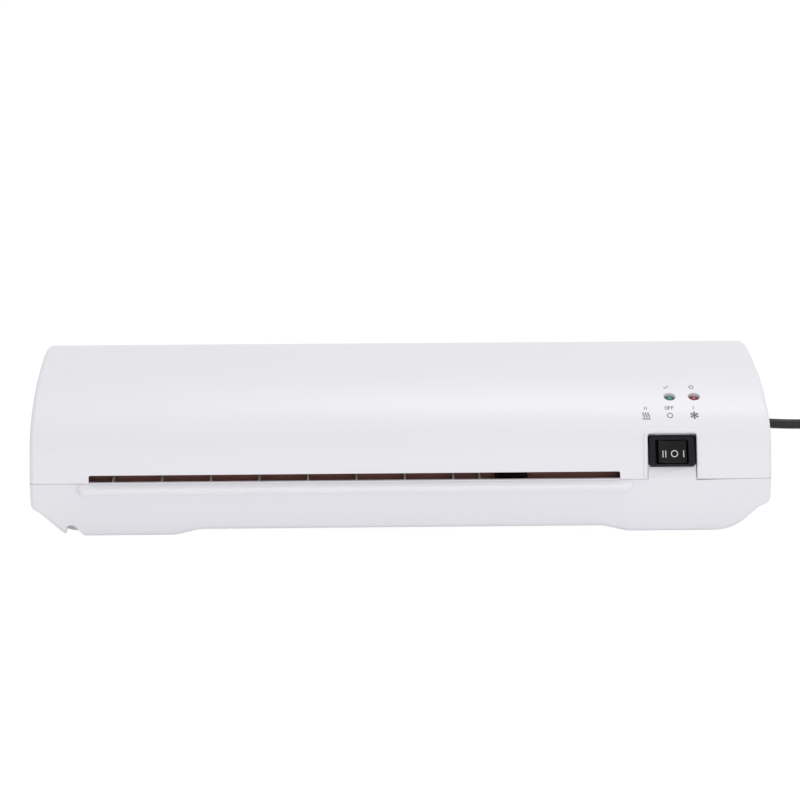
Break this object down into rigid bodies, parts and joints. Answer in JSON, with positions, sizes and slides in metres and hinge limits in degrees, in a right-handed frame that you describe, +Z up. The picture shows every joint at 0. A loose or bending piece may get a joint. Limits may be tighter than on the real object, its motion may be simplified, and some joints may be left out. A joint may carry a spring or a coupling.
{
  "type": "pouch laminator",
  "caption": "Desktop pouch laminator: domed shell, ribbed feed slot over a lip, tilting rocker switch, indicator lights, geared silicone rollers, heated plates and a coiled mains cord",
  "frame": {"origin": "on the table under the middle of the machine, measured without its cord", "axes": "+X to the right of someone who faces the feed slot, +Y to the back, +Z up"},
  "size_m": [0.4777, 0.1784, 0.0667],
  "materials": {
    "shell": "fine satin moulding, slightly cool white",
    "pale_plastic": "satin moulding, warm pale grey",
    "gear_plastic": "smooth acetal, natural cream",
    "black_plastic": "semi-gloss black moulding",
    "silicone": "soft matt silicone, brown red",
    "steel": "ground steel",
    "zinc_steel": "zinc-plated sheet steel",
    "aluminium": "extruded, brushed along its length",
    "brass": "plated contact metal",
    "mica": "mica sheet, dull",
    "board": "phenolic circuit board",
    "black_rubber": "matt black flexible vinyl",
    "grey_rubber": "matt grey rubber",
    "green_lens": "tinted clear resin",
    "red_lens": "tinted clear resin",
    "capacitor_film": "glossy film case"
  },
  "bodies": {
    "chassis": {"upper_cover": "shell", "lower_base": "shell", "foot_pad_front_left": "grey_rubber", "foot_pad_front_right": "grey_rubber", "foot_pad_rear_left": "grey_rubber", "foot_pad_rear_right": "grey_rubber", "case_screw_front_left": "zinc_steel", "case_screw_front_right": "zinc_steel", "case_screw_rear_left": "zinc_steel", "case_screw_rear_right": "zinc_steel", "switch_body": "black_plastic", "ready_led": "green_lens", "power_led": "red_lens", "led_board": "board", "left_frame": "zinc_steel", "right_frame": "zinc_steel", "entry_guide": "pale_plastic", "exit_guide": "pale_plastic", "roller_sensor": "black_plastic", "front_idler_pin": "steel", "front_right_bearing": "gear_plastic", "front_left_bearing": "gear_plastic", "rear_idler_pin": "steel", "rear_right_bearing": "gear_plastic", "rear_left_bearing": "gear_plastic", "motor_gearbox": "zinc_steel", "motor_can": "zinc_steel", "motor_post_upper": "steel", "motor_post_lower": "steel", "upper_heat_plate": "aluminium", "lower_heat_plate": "aluminium", "upper_heater": "mica", "lower_heater": "mica", "thermostat": "black_plastic", "thermal_fuse": "brass", "power_board": "board", "motor_capacitor": "capacitor_film", "strain_relief": "black_rubber", "power_cord": "black_rubber", "cord_coil": "black_rubber", "cord_tie": "black_plastic", "plug_body": "black_rubber", "plug_pin_left": "brass", "plug_pin_right": "brass"},
    "rocker": {"switch_rocker": "black_plastic"},
    "front_idler_gear": {"front_idler": "gear_plastic"},
    "rear_idler_gear": {"rear_idler": "gear_plastic"},
    "pinion": {"motor_pinion": "gear_plastic"},
    "front_lower": {"front_lower_roller": "silicone", "front_lower_shaft": "steel", "front_lower_gear": "gear_plastic"},
    "front_upper": {"front_upper_roller": "silicone", "front_upper_shaft": "steel", "front_upper_gear": "gear_plastic"},
    "rear_lower": {"rear_lower_roller": "silicone", "rear_lower_shaft": "steel", "rear_lower_gear": "gear_plastic"},
    "rear_upper": {"rear_upper_roller": "silicone", "rear_upper_shaft": "steel", "rear_upper_gear": "gear_plastic"}
  },
  "joints": [
    {"name": "rocker_tilt", "type": "hinge", "parent": "chassis", "child": "rocker", "pos_m": [0.1226, -0.04445, 0.035], "axis": [0, 0.5, 0.866], "range_deg": [-8, 8]},
    {"name": "front_lower_spin", "type": "hinge", "parent": "chassis", "child": "front_lower", "pos_m": [0, -0.03094, 0.01905], "axis": [1, 0, 0], "continuous": true},
    {"name": "front_upper_spin", "type": "hinge", "parent": "chassis", "child": "front_upper", "pos_m": [0, -0.03094, 0.03605], "axis": [1, 0, 0], "continuous": true},
    {"name": "rear_lower_spin", "type": "hinge", "parent": "chassis", "child": "rear_lower", "pos_m": [0, 0.03506, 0.01905], "axis": [1, 0, 0], "continuous": true},
    {"name": "rear_upper_spin", "type": "hinge", "parent": "chassis", "child": "rear_upper", "pos_m": [0, 0.03506, 0.03605], "axis": [1, 0, 0], "continuous": true},
    {"name": "front_idler_spin", "type": "hinge", "parent": "chassis", "child": "front_idler_gear", "pos_m": [0.1054, -0.01111, 0.02166], "axis": [1, 0, 0], "continuous": true},
    {"name": "rear_idler_spin", "type": "hinge", "parent": "chassis", "child": "rear_idler_gear", "pos_m": [0.1054, 0.01524, 0.02166], "axis": [1, 0, 0], "continuous": true},
    {"name": "pinion_spin", "type": "hinge", "parent": "chassis", "child": "pinion", "pos_m": [0.1054, 0.00206, 0.03465], "axis": [1, 0, 0], "continuous": true}
  ],
  "couplings": [
    {"joint": "front_upper_spin", "follows": "front_lower_spin", "ratio": -1},
    {"joint": "rear_lower_spin", "follows": "front_lower_spin", "ratio": 1},
    {"joint": "rear_upper_spin", "follows": "front_lower_spin", "ratio": -1},
    {"joint": "front_idler_spin", "follows": "front_lower_spin", "ratio": -0.73913},
    {"joint": "rear_idler_spin", "follows": "front_lower_spin", "ratio": -0.73913},
    {"joint": "pinion_spin", "follows": "front_lower_spin", "ratio": 1.2143}
  ]
}
